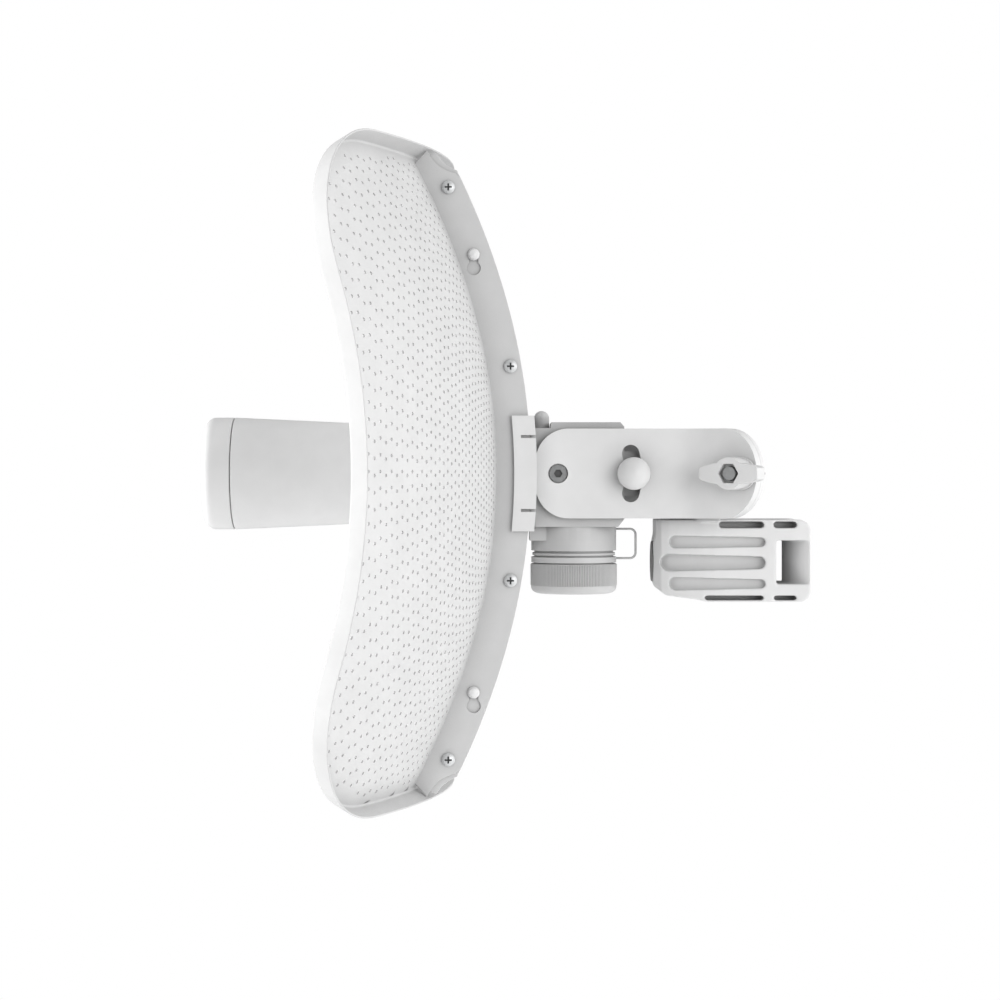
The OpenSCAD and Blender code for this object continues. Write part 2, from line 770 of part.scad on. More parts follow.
module body_pockets() {
    // height, depth, front end, half heights at the front and back
    for (f = [[-39.3, 3.6, 45.5, 3.7, 2.7], [-30.2, 2.8, 49.2, 2.7, 2], [-48.6, 2.8, 49.2, 2.8, 1.9]])
        difference() {
            side_slab(0, 25) flute(f[0], f[2], 91.4, f[3], f[4]);
            plan_slab(body_bottom, body_top) body_plan(f[1]);
        }
    edge_wall = 0.8;
    side_slab(10, 25) {
        for (span = [[70.9, 90.8], [94.9, 105.3]])
            edge_pocket(span[0], span[1], body_top - 3.6, body_top - edge_wall);
        for (span = [[64.5, 90.8], [94.9, 105.3]])
            edge_pocket(span[0], span[1], body_bottom + edge_wall, body_bottom + 2.8);
    }
}

// Neck and tilted head plate that the yoke is clamped to
module mount_head() {
    neck_back = 71;
    neck_far = 12;
    face = bend_end_t + head_gap;
    root = (50 - clamp_x) / cos(flare);
    difference() {
        union() {
            at_clamp() oval_plate(face, face + head_t, root + 6);
            intersection() {
                plan_slab(body_top - 1, 17)
                    polygon([[50, -20], [50, neck_far], [neck_back, neck_far],
                             [neck_back, -30]]);
                at_clamp() translate([-60, face, -50]) cube([120, 80, 100]);
            }
        }
        at_clamp() y_rod(face - 1, face + head_t + 12, m6_r);
    }
    at_clamp() translate([flare_tip - 2, face - 0.2, -3]) cube([1.6, 1, 6]);
}

// Room for the tether's loop when the dish is tilted
module tether_relief() translate([body_front - 1, -1.3, -33]) cube([5.5, 2.6, 14.5]);

module pole_mount() color("gainsboro") from_pivot() {
    difference() {
        intersection() {
            plan_slab(body_bottom, body_top) body_plan();
            side_slab(-body_half_w, body_half_w) body_side();
        }
        translate([pivot_to_pole, 0, body_bottom - 1]) cylinder(h = body_h + 2, r = pole_r, $fn = 128);
        difference() {
            translate([window_x, -30, window_z0]) cube([30, 60, window_z1 - window_z0]);
            translate([pivot_to_pole, 0, window_z0 - 1])
                cylinder(h = window_z1 - window_z0 + 2, r = strap_r, $fn = 128);
        }
        both_sides() body_pockets();
        tether_relief();
        translate([0, 0, body_mid_z - 0.7]) x_rod(body_front - 1, body_front + 2, plug_r);
    }
    mount_head();
}

// Plug in the round opening at the front of the mount's body
module mount_plug() color("dimgray") from_pivot() difference() {
    translate([0, 0, body_mid_z - 0.7]) x_rod(body_front - 0.5, body_front + 2, plug_r);
    tether_relief();
}

module clamp_bolt() color("silver") from_pivot() at_clamp() {
    seat = bend_end_t + head_gap + head_t;
    translate([0, seat, 0]) rotate([-90, 0, 0]) cylinder(h = 4, r = 5.8, $fn = 6);
    y_rod(-13.1, seat, m6_r);
}

// Wing nut with a hexagon recess in its face
module wing_nut() color("white") from_pivot() at_clamp() {
    seat = -0.3;
    face = -14;
    difference() {
        union() {
            y_rod(face, seat, 6.4);
            y_rod(seat - 1.2, seat, 7.2);
            side_slab(face, face + 8) {
                circle(7);
                polygon([[-13.7, -2.4], [-12.6, -3.1], [-6, -4.5], [6, -4.5], [12.6, -3.1],
                         [13.7, -2.4], [13.7, 2.4], [12.6, 3.1], [6, 4.5], [-6, 4.5],
                         [-12.6, 3.1], [-13.7, 2.4]]);
            }
        }
        y_rod(face - 1, seat + 1, m6_r + run_gap);
        translate([0, face - 1, 0]) rotate([-90, 0, 0]) cylinder(h = 4, r = 4.73, $fn = 6);
    }
}

dish_centre();
dish_wing_left();
dish_wing_right();
flange_screws();
flange_nuts();
hook_pegs();
dish_cradle();
feed_tube();
feed_cap();
feed_seal();
subreflector();
feed_board();
feed_spacer();
board_link();
radio_board();
rf_shield();
ethernet_jack();
reset_switch();
reset_button();
rear_housing();
latch_button();
latch_spring();
neck_gasket();
cap_tether();
port_cap();
cap_seal();
pivot_inserts();
pivot_screws();
elevation_yoke();
pivot_bushes();
tilt_bolt();
tilt_washers();
tilt_knob();
pole_mount();
mount_plug();
clamp_bolt();
wing_nut();
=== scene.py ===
"""Looks of the outdoor wireless bridge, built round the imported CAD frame.

Lengths are in millimetres from the elevation pivot until at() turns them into the row frame's metres.
"""

import json
import math

import bmesh
import bpy
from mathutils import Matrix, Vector
from mathutils.geometry import delaunay_2d_cdt


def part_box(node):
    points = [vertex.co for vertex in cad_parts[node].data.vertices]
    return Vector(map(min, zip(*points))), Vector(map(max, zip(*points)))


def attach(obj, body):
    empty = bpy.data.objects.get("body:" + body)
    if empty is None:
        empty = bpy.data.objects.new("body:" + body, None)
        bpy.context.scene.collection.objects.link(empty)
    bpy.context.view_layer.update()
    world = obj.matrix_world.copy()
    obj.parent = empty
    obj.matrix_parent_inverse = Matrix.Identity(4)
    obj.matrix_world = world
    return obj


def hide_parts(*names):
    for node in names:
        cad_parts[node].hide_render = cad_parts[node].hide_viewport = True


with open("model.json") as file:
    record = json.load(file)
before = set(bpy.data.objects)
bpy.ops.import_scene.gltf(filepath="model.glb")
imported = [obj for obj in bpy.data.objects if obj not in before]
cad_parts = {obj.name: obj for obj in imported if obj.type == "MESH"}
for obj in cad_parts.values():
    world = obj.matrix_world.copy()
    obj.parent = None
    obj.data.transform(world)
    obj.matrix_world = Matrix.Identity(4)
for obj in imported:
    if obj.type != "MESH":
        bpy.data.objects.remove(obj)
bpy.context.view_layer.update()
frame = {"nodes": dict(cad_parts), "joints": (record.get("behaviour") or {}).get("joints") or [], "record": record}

MM = 0.001
JOINTS = {joint["name"]: joint for joint in frame["joints"]}
PIVOT = Vector(JOINTS["dish_tilt"]["pos_m"])
CDT_TRIANGLES = 1      # delaunay_2d_cdt: triangles inside the outlines
CDT_EPSILON = 1e-6

# Dish, as in the CAD model
FOCAL = 123.0
VERTEX_X = -18.1
SHEET_T = 0.8
SEAM_Y = 67.6
FLANGE_ROOT = -12.5
FLANGE_BOW = 523.0
HALF_W = 178.0         # outline of the sheet before its lip turns back
HALF_H = 133.4
CORNER_R = 60.0
TOP_BOW = -0.003       # how far the long edges draw in at their ends, as a share of the half height
SIDE_BOW = 0.016       # how far the short sides draw in at their ends, beyond the seams
LIP_DEPTH = 9.0
FOLD_R = 1.8
LIP_ROUND = 0.3        # chamfer on the lip's free edge
FEED_HOLE_R = 17.3
HOLE_R = 0.75
RING_PITCH = 3.09
RING_0 = 23.54         # radius of the innermost ring of perforations
RINGS = 62
SPOKES = 160
ZIGZAG = 0.76          # neighbouring rings lie this far to either side of their spoke
HOLE_SIDES = 8
RIM_MARGIN = 3.0
SEAM_MARGIN = 3.6
INNER_INSETS = (1.0, 2.2)      # how far inside the rim the points lie that keep its shading even
SCREW_SPOTS = [(120.2, 7.1), (45.0, 4.7)]      # (height, distance in from the flange's edge)
PEG_SPOT = (92.0, 7.9)
SCREW_HOLE_R = 1.7
THREADED_HOLE_R = 1.5
PEG_SLOT_R = 1.9
KEYHOLE_R = 2.9
KEYHOLE_DROP = 5.7


def at(x, y, z):
    """A point given in millimetres from the elevation pivot, in the row frame."""
    return PIVOT + Vector((x, y, z)) * MM


# Materials ---------------------------------------------------------------------------

# Painted shade: an ambient-occlusion node darkens every finish's base colour in narrow recesses and corners.
PAINTED_SHADE_REACH = 0.011   # recesses narrower than this, in metres, are shaded
PAINTED_SHADE_OPEN = 0.3      # openness at which the shade is full
PAINTED_SHADE_KEPT = 0.66    # how much of the colour is left there
NOISE_LOW = 0.3        # a noise texture's factor stays mostly between these two
NOISE_HIGH = 0.7


def noise(nodes, links, coords, scale, detail=2.0):
    """The factor of a noise texture whose grains are about 1 / scale metres wide."""
    texture = nodes.new("ShaderNodeTexNoise")
    texture.inputs["Scale"].default_value = scale
    texture.inputs["Detail"].default_value = detail
    links.new(coords, texture.inputs["Vector"])
    return texture.outputs["Fac"]


def spread(nodes, links, factor, low, high):
    """A noise factor spread over low to high."""
    ranged = nodes.new("ShaderNodeMapRange")
    ranged.inputs["From Min"].default_value = NOISE_LOW
    ranged.inputs["From Max"].default_value = NOISE_HIGH
    ranged.inputs["To Min"].default_value = low
    ranged.inputs["To Max"].default_value = high
    links.new(factor, ranged.inputs["Value"])
    return ranged.outputs["Result"]


def finish_material(name, dark, light, rough, grain, depth, metallic=0.0, stretch=None,
                    patch=90.0, coat=0.0):
    """A finish whose colour drifts between dark and light in patches, with a fine grain.

    rough is the lowest and highest roughness, grain the texture's scale and depth its height in metres.
    stretch scales the coordinates, to draw the grain out into brush lines. Narrow recesses get painted shade, a
    darkening of the base colour.
    """
    made = bpy.data.materials.new(name)
    made.use_nodes = True
    nodes = made.node_tree.nodes
    links = made.node_tree.links
    shader = nodes["Principled BSDF"]
    coords = nodes.new("ShaderNodeTexCoord").outputs["Object"]
    if stretch:
        mapping = nodes.new("ShaderNodeMapping")
        mapping.inputs["Scale"].default_value = stretch
        links.new(coords, mapping.inputs["Vector"])
        coords = mapping.outputs["Vector"]
    patches = noise(nodes, links, coords, patch, 3.0)
    grains = noise(nodes, links, coords, grain, 1.0)
    ramp = nodes.new("ShaderNodeValToRGB")
    ramp.color_ramp.elements[0].position = NOISE_LOW
    ramp.color_ramp.elements[0].color = (*dark, 1.0)
    ramp.color_ramp.elements[1].position = NOISE_HIGH
    ramp.color_ramp.elements[1].color = (*light, 1.0)
    links.new(patches, ramp.inputs["Fac"])
    # Painted shade: the colour is darkened where ambient occlusion finds the surface closed in.
    painted_shade_occlusion = nodes.new("ShaderNodeAmbientOcclusion")
    painted_shade_occlusion.samples = 4
    painted_shade_occlusion.inputs["Distance"].default_value = PAINTED_SHADE_REACH
    shade = nodes.new("ShaderNodeMapRange")
    shade.inputs["From Min"].default_value = PAINTED_SHADE_OPEN
    shade.inputs["To Min"].default_value = PAINTED_SHADE_KEPT
    links.new(painted_shade_occlusion.outputs["AO"], shade.inputs["Value"])
    shaded = nodes.new("ShaderNodeVectorMath")
    shaded.operation = "SCALE"
    links.new(ramp.outputs["Color"], shaded.inputs["Vector"])
    links.new(shade.outputs["Result"], shaded.inputs["Scale"])
    links.new(shaded.outputs["Vector"], shader.inputs["Base Color"])
    links.new(spread(nodes, links, grains, *rough), shader.inputs["Roughness"])
    bump = nodes.new("ShaderNodeBump")
    bump.inputs["Distance"].default_value = depth
    bump.inputs["Strength"].default_value = 0.6
    links.new(grains, bump.inputs["Height"])
    links.new(bump.outputs["Normal"], shader.inputs["Normal"])
    shader.inputs["Metallic"].default_value = metallic
    shader.inputs["Coat Weight"].default_value = coat
    return made


def neutral(level, tint=0.0):
    """A neutral colour, a little cooler when tint is above 0."""
    return (level * (1 - tint), level * (1 - tint * 0.3), level)


MATERIALS = {
    "dish_sheet": finish_material("powder_coat", neutral(0.6), neutral(0.63), (0.38, 0.5),
                                  1400, 0.000006),
    "feed_plastic": finish_material("white_moulding", neutral(0.7), neutral(0.73), (0.4, 0.5),
                                    2600, 0.000004),
    "white_plastic": finish_material("body_moulding", neutral(0.73), neutral(0.76), (0.42, 0.55),
                                     2200, 0.000006),
    "housing_plastic": finish_material("housing_moulding", neutral(0.54), neutral(0.57), (0.42, 0.55),
                                       2200, 0.000006),
    "grey_plastic": finish_material("grey_moulding", neutral(0.57), neutral(0.61), (0.45, 0.58),
                                    2200, 0.000006),
    "plug_plastic": finish_material("plug_moulding", neutral(0.2), neutral(0.25), (0.45, 0.6),
                                    2000, 0.00003),
    "black_plastic": finish_material("black_moulding", neutral(0.035), neutral(0.05), (0.4, 0.55),
                                     2000, 0.00002),
    "zinc": finish_material("zinc_plate", neutral(0.62, 0.02), neutral(0.7, 0.02), (0.35, 0.5),
                            1500, 0.000003, metallic=0.35, patch=600),
    "peg_metal": finish_material("peg_coat", neutral(0.76), neutral(0.82), (0.38, 0.5), 1200, 0.00003),
    "dark_steel": finish_material("dark_plate", neutral(0.24, 0.02), neutral(0.3, 0.02), (0.3, 0.45),
                                  900, 0.000004, metallic=0.4, patch=300),
    "brass": finish_material("turned_brass", (0.62, 0.45, 0.18), (0.74, 0.56, 0.26), (0.25, 0.4),
                             900, 0.00002, metallic=1.0, stretch=(1, 9, 1), patch=300),
    "shield_metal": finish_material("tinned_sheet", neutral(0.62), neutral(0.7), (0.25, 0.4),
                                    700, 0.00002, metallic=1.0, stretch=(1, 1, 6), patch=200),
    "circuit_board": finish_material("solder_mask", (0.02, 0.12, 0.05), (0.04, 0.2, 0.08), (0.25, 0.4),
                                     1200, 0.00002, patch=500, coat=0.3),
    "rubber": finish_material("seal_rubber", neutral(0.04), neutral(0.07), (0.6, 0.75), 1500, 0.00003),
}
# Painted shade: a darker finish on the walls of the perforations and the sheet's edges, so the holes read as
# shadowed.
PAINTED_HOLE_SHADE = finish_material("hole_wall_painted_shade", neutral(0.5), neutral(0.58), (0.5, 0.6), 1400, 0.000006)
DULL_ZINC = finish_material("dull_zinc", neutral(0.3, 0.02), neutral(0.36, 0.02), (0.4, 0.55),
                            1500, 0.000003, metallic=0.3, patch=600)
# Painted shade: a near-black finish on the walls and floors of the screws' drive recesses.
PAINTED_RECESS_SHADE = finish_material("recess_shade", neutral(0.08), neutral(0.12), (0.5, 0.6), 1400, 0.000006)
SLOT_OF = {part["node"]: part["material_slot"] for part in frame["record"]["subparts"]}
BODY_OF = {node: body for body, members in frame["record"]["behaviour"]["bodies"].items()
           for node in members}


def dress(piece, node, second=None):
    """Gives a piece the body, the finish and the slot of the CAD node that it stands for.

    second is the finish of the faces that were given the second material.
    """
    indices = [face.material_index for face in piece.data.polygons]
    piece.data.materials.clear()
    piece.data.materials.append(MATERIALS[SLOT_OF[node]])
    if second:
        piece.data.materials.append(second)
        piece.data.polygons.foreach_set("material_index", indices)
    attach(piece, BODY_OF[node])
    return piece


# Mesh helpers ------------------------------------------------------------------------


def mesh_object(name, points, faces, sharp=35.0, second=()):
    """An object of row-frame points and faces, smooth but for edges over sharp degrees.

    second are the indices of the faces that take the object's second material.
    """
    mesh = bpy.data.meshes.new(name)
    mesh.from_pydata([tuple(p) for p in points], [], faces)
    for index in second:
        mesh.polygons[index].material_index = 1
    work = bmesh.new()
    work.from_mesh(mesh)
    bmesh.ops.remove_doubles(work, verts=work.verts, dist=1e-7)
    bmesh.ops.recalc_face_normals(work, faces=work.faces)
    work.to_mesh(mesh)
    work.free()
    mesh.polygons.foreach_set("use_smooth", [True] * len(mesh.polygons))
    mesh.set_sharp_from_angle(angle=math.radians(sharp))
    piece = bpy.data.objects.new(name, mesh)
    bpy.context.scene.collection.objects.link(piece)
    return piece


def bevel(piece, width, segments=3, angle=30.0):
    """Rounds the piece's sharp edges with a radius of about width millimetres."""
    rounding = piece.modifiers.new("rounding", "BEVEL")
    rounding.width = width * MM
    rounding.segments = segments
    rounding.limit_method = "ANGLE"
    rounding.angle_limit = math.radians(angle)
    rounding.use_clamp_overlap = True
    rounding.harden_normals = True
    return piece


def rounded_copy(node, width, segments=3):
    """Stands for a CAD node with a copy of its mesh whose edges are rounded."""
    work = bmesh.new()
    work.from_mesh(frame["nodes"][node].data)
    bmesh.ops.remove_doubles(work, verts=work.verts, dist=2e-6)
    bmesh.ops.dissolve_limit(work, angle_limit=math.radians(0.5), verts=work.verts, edges=work.edges)
    mesh = bpy.data.meshes.new(node + "_rounded")
    work.to_mesh(mesh)
    work.free()
    mesh.polygons.foreach_set("use_smooth", [True] * len(mesh.polygons))
    mesh.set_sharp_from_angle(angle=math.radians(30))
    piece = bpy.data.objects.new(node + "_rounded", mesh)
    bpy.context.scene.collection.objects.link(piece)
    bevel(piece, width, segments)
    dress(piece, node)
    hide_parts(node)
    return piece


def apply_modifiers(piece):
    """Turns the piece's modifiers into mesh."""
    bpy.context.view_layer.update()
    shaped = piece.evaluated_get(bpy.context.evaluated_depsgraph_get())
    piece.data = bpy.data.meshes.new_from_object(shaped)
    piece.modifiers.clear()


def moulded_copy(node, voxel, passes, crisp_above, crispness=0.3, kept=0.4):
    """Stands for a CAD node with a remeshed copy, so that inner and outer edges run soft.

    Above crisp_above, in millimetres from the pivot, only crispness of the smoothing is applied.
    kept is the share of the triangles that stays.
    """
    mesh = frame["nodes"][node].data.copy()
    piece = bpy.data.objects.new(node + "_moulded", mesh)
    bpy.context.scene.collection.objects.link(piece)
    remesh = piece.modifiers.new("remesh", "REMESH")
    remesh.mode = "VOXEL"
    remesh.voxel_size = voxel * MM
    apply_modifiers(piece)
    border = PIVOT.z + crisp_above * MM
    softness = piece.vertex_groups.new(name="softness")
    softness.add([v.index for v in piece.data.vertices if v.co.z <= border], 1.0, "REPLACE")
    softness.add([v.index for v in piece.data.vertices if v.co.z > border], crispness, "REPLACE")
    smooth = piece.modifiers.new("smooth", "SMOOTH")
    smooth.factor = 0.5
    smooth.iterations = passes
    smooth.vertex_group = "softness"
    thin = piece.modifiers.new("thin", "DECIMATE")
    thin.ratio = kept
    apply_modifiers(piece)
    piece.data.polygons.foreach_set("use_smooth", [True] * len(piece.data.polygons))
    dress(piece, node)
    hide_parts(node)
    return piece


def lathe(name, profile, centre, axis, segments=128, radius_at=None):
    """Turns a closed profile of (along, radius) millimetres about the axis through centre.

    radius_at(along, radius, angle), if given, changes the radius round the turn.
    """
    turn = axis.to_track_quat("Z", "Y").to_matrix()
    points = []
    for step in range(segments):
        angle = math.tau * step / segments
        for along, radius in profile:
            r = radius_at(along, radius, angle) if radius_at else radius
            local = Vector((r * math.cos(angle), r * math.sin(angle), along))
            points.append(centre + turn @ local * MM)
    rows = len(profile)
    faces = []
    for step in range(segments):
        ahead = (step + 1) % segments
        for row in range(rows):
            below = (row + 1) % rows
            faces.append([step * rows + row, ahead * rows + row, ahead * rows + below,
                          step * rows + below])
    piece = mesh_object(name, points, faces)
    clean = bmesh.new()
    clean.from_mesh(piece.data)
    bmesh.ops.dissolve_degenerate(clean, dist=1e-8, edges=clean.edges)
    clean.to_mesh(piece.data)
    clean.free()
    return piece


def arc(centre, radius, start, end, steps):
    """Points of an arc in a plane, from start to end degrees."""
    angles = [math.radians(start + (end - start) * i / steps) for i in range(steps + 1)]
    return [(centre[0] + radius * math.cos(a), centre[1] + radius * math.sin(a)) for a in angles]


# Dish --------------------------------------------------------------------------------


def sheet_point(y, z):
    """A point on the reflecting face, in millimetres from the pivot."""
    return Vector((VERTEX_X - (y * y + z * z) / (4 * FOCAL), y, z))


def sheet_back(y, z):
    """Unit vector out of the sheet's convex face."""
    return Vector((1.0, y / (2 * FOCAL), z / (2 * FOCAL))).normalized()


def bowed(y, z):
    """The rounded rectangle's point after its sides are bowed, which leaves the seams straight."""
    outer = max(abs(y) - SEAM_Y, 0)
    shift = SIDE_BOW * outer * (z / HALF_H) ** 2
    return (y - math.copysign(shift, y), z * (1 - TOP_BOW * (y / HALF_W) ** 2))


def seam_points(y, z):
    """Points down a seam, from z to -z without the ends."""
    steps = 90
    return [(y, z * (1 - 2 * i / steps)) for i in range(1, steps)]


def rim_path(inset):
    """Right half of the dish's outline, from the top seam round to the bottom seam."""
    w = HALF_W - inset
    h = HALF_H - inset
    r = CORNER_R - inset
    seam = SEAM_Y + inset - FOLD_R
    path = [(seam + (w - r - seam) * i / 16, h) for i in range(16)]
    path += [(y, z) for y, z in reversed(arc((w - r, h - r), r, 0, 90, 28))]
    path += [(w, (h - r) * (1 - 2 * i / 40)) for i in range(1, 40)]
    path += [(y, z) for y, z in reversed(arc((w - r, -(h - r)), r, -90, 0, 28))]
    path += [(seam + (w - r - seam) * i / 16, -h) for i in range(15, -1, -1)]
    return [bowed(y, z) for y, z in path]


def spokes_at(radius):
    """How many spokes carry a perforation at this radius: fewer where they would merge."""
    if radius > 62:
        return SPOKES
    return SPOKES // 2 if radius > 32 else SPOKES // 4


def edge_distance(y, z):
    """Rough distance from (y, z) inwards to the outline of the sheet."""
    w = HALF_W * (1 - SIDE_BOW * (z / HALF_H) ** 2)
    h = HALF_H * (1 - TOP_BOW * (y / HALF_W) ** 2)
    corner_y = abs(y) - (w - CORNER_R)
    corner_z = abs(z) - (h - CORNER_R)
    if corner_y > 0 and corner_z > 0:
        return CORNER_R - math.hypot(corner_y, corner_z)
    return min(w - abs(y), h - abs(z))


def perforations(y_low, y_high):
    """Small polygons for the holes whose centres lie between y_low and y_high."""
    holes = []
    turns = [math.tau * k / HOLE_SIDES for k in range(HOLE_SIDES)]
    for ring in range(RINGS):
        radius = RING_0 + RING_PITCH * ring
        side = ZIGZAG if ring % 2 else -ZIGZAG
        count = spokes_at(radius)
        squeeze = 1 / math.sqrt(1 + (radius / (2 * FOCAL)) ** 2)
        for spoke in range(count):
            angle = math.tau * spoke / count
            out = Vector((math.cos(angle), math.sin(angle)))
            across = Vector((-out.y, out.x))
            centre = out * radius + across * side
            inside = y_low + SEAM_MARGIN < centre.x < y_high - SEAM_MARGIN
            if not inside or edge_distance(centre.x, centre.y) < RIM_MARGIN + FOLD_R:
                continue
            holes.append([centre + out * (HOLE_R * squeeze * math.cos(t))
                          + across * (HOLE_R * math.sin(t)) for t in turns])
    return holes


def anticlockwise(loop):
    """The loop's points, turned round if they ran clockwise."""
    points = [Vector(p) for p in loop]
    area = sum(a.cross(b) for a, b in zip(points, points[1:] + points[:1]))
    return points if area > 0 else points[::-1]


def triangulate(outline, holes, extra=()):
    """(points, triangles) of an outline less its holes, with extra points between them."""
    points = anticlockwise(outline)
    loops = [list(range(len(points)))]
    for hole in map(anticlockwise, holes):
        loops.append(list(range(len(points), len(points) + len(hole))))
        points += hole
    points += [Vector(p) for p in extra]
    found, _, faces, _, _, sources = delaunay_2d_cdt(points, [], loops, CDT_TRIANGLES, CDT_EPSILON)
    return found, [list(face) for face, source in zip(faces, sources) if list(source) == [0]]


def two_sided(points, triangles, front, back):
    """Points and faces of a sheet between two mappings of a flat triangulation, walls last."""
    n = len(points)
    solid = [front(p) for p in points] + [back(p) for p in points]
    faces = list(triangles) + [[i + n for i in reversed(tri)] for tri in triangles]
    count = {}
    for tri in triangles:
        for a, b in zip(tri, tri[1:] + tri[:1]):
            count[(a, b)] = count.get((a, b), 0) + 1
    for a, b in count:
        if (b, a) not in count:
            faces.append([b, a, a + n, b + n])
    return solid, faces


def lip_section(y, z, out):
    """The lip's cross-section at a rim point, from the reflecting face round to the convex face."""
    start = sheet_point(y, z)
    normal = sheet_back(y, z)
    slope = -(y * out.x + z * out.y) / (2 * FOCAL)
    outward = Vector((slope, out.x, out.y)).normalized()
    centre = start + normal * FOLD_R
    section = [centre + outward * (FOLD_R * math.sin(a)) - normal * (FOLD_R * math.cos(a))
               for a in [math.pi / 10 * k for k in range(6)]]
    inner_r = FOLD_R - SHEET_T
    end = start + normal * LIP_DEPTH
    section.append(end - normal * LIP_ROUND + outward * FOLD_R)
    section.append(end + outward * (FOLD_R - LIP_ROUND))
    section.append(end + outward * (inner_r + LIP_ROUND))
    section.append(end - normal * LIP_ROUND + outward * inner_r)
    section += [centre + outward * (inner_r * math.sin(a)) - normal * (inner_r * math.cos(a))
                for a in [math.pi / 10 * k for k in range(5, -1, -1)]]
    return section


def lip(path):
    """Points and faces of the rim lip along a path of rim points, open on its sheet side."""
    rows = []
    last = len(path) - 1
    for i, (y, z) in enumerate(path):
        before = Vector(path[max(i - 1, 0)])
        after = Vector(path[min(i + 1, last)])
        along = (after - before).normalized()
        out = Vector((along.y, -along.x))
        if out.dot(Vector((y, z))) < 0:
            out = -out
        rows.append(lip_section(y, z, out))
    width = len(rows[0])
    points = [p for row in rows for p in row]
    faces = []
    for i in range(last):
        for k in range(width):
            j = (k + 1) % width
            faces.append([i * width + k, i * width + j, (i + 1) * width + j, (i + 1) * width + k])
    faces.append(list(range(width)))
    faces.append([last * width + k for k in range(width)])
    return points, faces


def join_parts(parts):
    """One list of points and faces from several."""
    points = []
    faces = []
    for part_points, part_faces in parts:
        base = len(points)
        points += part_points
        faces += [[i + base for i in face] for face in part_faces]
    return points, faces


def panel(name, node, outline, holes, inner, extras):
    """A perforated panel, dressed as the node; the walls of its holes and edges take a darker finish, painted
    shade that makes the holes read dark.

    inner are points just inside the rim, which keep its shading even. extras are the points and faces
    of its lips.
    """
    flat, triangles = triangulate(outline, holes, inner)
    sheet = two_sided(flat, triangles,
                      lambda p: sheet_point(p.x, p.y),
                      lambda p: sheet_point(p.x, p.y) + sheet_back(p.x, p.y) * SHEET_T)
    points, faces = join_parts([sheet] + extras)
    walls = range(2 * len(triangles), len(sheet[1]))
    piece = mesh_object(name, [at(*p) for p in points], faces, second=walls)
    dress(piece, node, PAINTED_HOLE_SHADE)
    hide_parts(node)
    return piece


def flange_edge(z):
    """How far back the flanges' bowed edge lies at height z."""
    return FLANGE_ROOT - z * z / FLANGE_BOW


FLANGE_TOP = 130.0     # where the flange's end leaves the sheet
FLANGE_GAP = 0.3       # how far inside the sheet's face the flange begins


def flange_outline(side, tip, hollow):
    """Outline of one flange in (x, z): its front follows the sheet, its ends are hollowed.

    tip is where the lip's end meets the flange, hollow the points down to its straight corner.
    """
    y = side * SEAM_Y
    steps = 40
    front = [(sheet_point(y, z).x + FLANGE_GAP, z)
             for z in [FLANGE_TOP * (2 * i / steps - 1) for i in range(steps + 1)]]
    back = [(flange_edge(z), z) for z in [hollow[-1][1] * (1 - 2 * i / steps) for i in range(steps + 1)]]
    upper = [tip] + hollow
    lower = [(x, -z) for x, z in reversed(upper)]
    return front + upper[:-1] + back + lower[1:]


def circle_loop(x, z, radius, sides=28):
    """Points of a circle."""
    return [(x + radius * math.cos(math.tau * k / sides), z + radius * math.sin(math.tau * k / sides))
            for k in range(sides)]


def keyhole_loop(x, z):
    """A peg's slot with its wide entry below."""
    spread_angle = math.degrees(math.asin(PEG_SLOT_R / KEYHOLE_R))
    top = arc((x, z), PEG_SLOT_R, 0, 180, 10)
    low = arc((x, z - KEYHOLE_DROP), KEYHOLE_R, 90 + spread_angle, 450 - spread_angle, 26)
    return top + low


def hardware_spots(spots):
    """(x, z) of flange hardware, above and below the middle."""
    return [(flange_edge(z) - inset, sign * z) for z, inset in spots for sign in (1, -1)]


def flange(name, y0, y1, outline, holes):
    """A flat flange between the two depths, with lightly rounded edges."""
    flat, triangles = triangulate(outline, holes)
    points, faces = two_sided(flat, triangles, lambda p: Vector((p.x, y0, p.y)),
                              lambda p: Vector((p.x, y1, p.y)))
    piece = mesh_object(name, [at(*p) for p in points], faces)
    return bevel(piece, 0.22, 2, 50)


# Upper ends of the two kinds of flange, in (x, z): the tip where the lip ends, the arc of the hollow
# below it, and the corner where the straight edge begins
WING_TIP = (-56.4, 135.6)
WING_HOLLOW = arc((-41.2, 142.2), 16.3, 204, 259, 8) + [(-42.6, 124.6), (flange_edge(123.6), 123.6)]
CENTRE_TIP = (-52.4, 134.9)
CENTRE_HOLLOW = arc((-37.6, 143.6), 17.2, 210, 250, 6) + [(-43.2, 126.4), (flange_edge(124.6), 124.6)]


def build_wing(side, node):
    """One wing: its panel on the given side and its flange with screw holes and keyholes."""
    rim = rim_path(FOLD_R)
    outline = [(side * y, z) for y, z in rim]
    holes = [[(side * p.x, p.y) for p in hole]
                                   for hole in perforations(SEAM_Y, HALF_W + SEAM_MARGIN)]
    seam = [(y, -z) for y, z in seam_points(side * SEAM_Y, rim[0][1])]
    inner = [(side * y, z) for inset in INNER_INSETS for y, z in rim_path(FOLD_R + inset)]
    panel(node + "_sheet", node, outline + seam, holes, inner, [lip(outline)])
    screw_holes = [circle_loop(x, z, SCREW_HOLE_R) for x, z in hardware_spots(SCREW_SPOTS)]
    keyholes = [keyhole_loop(x, z) for x, z in hardware_spots([PEG_SPOT])]
    wing_flange = flange(node + "_flange", side * SEAM_Y, side * (SEAM_Y + SHEET_T),
                         flange_outline(side, WING_TIP, WING_HOLLOW), screw_holes + keyholes)
    dress(wing_flange, node)
    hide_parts(node)


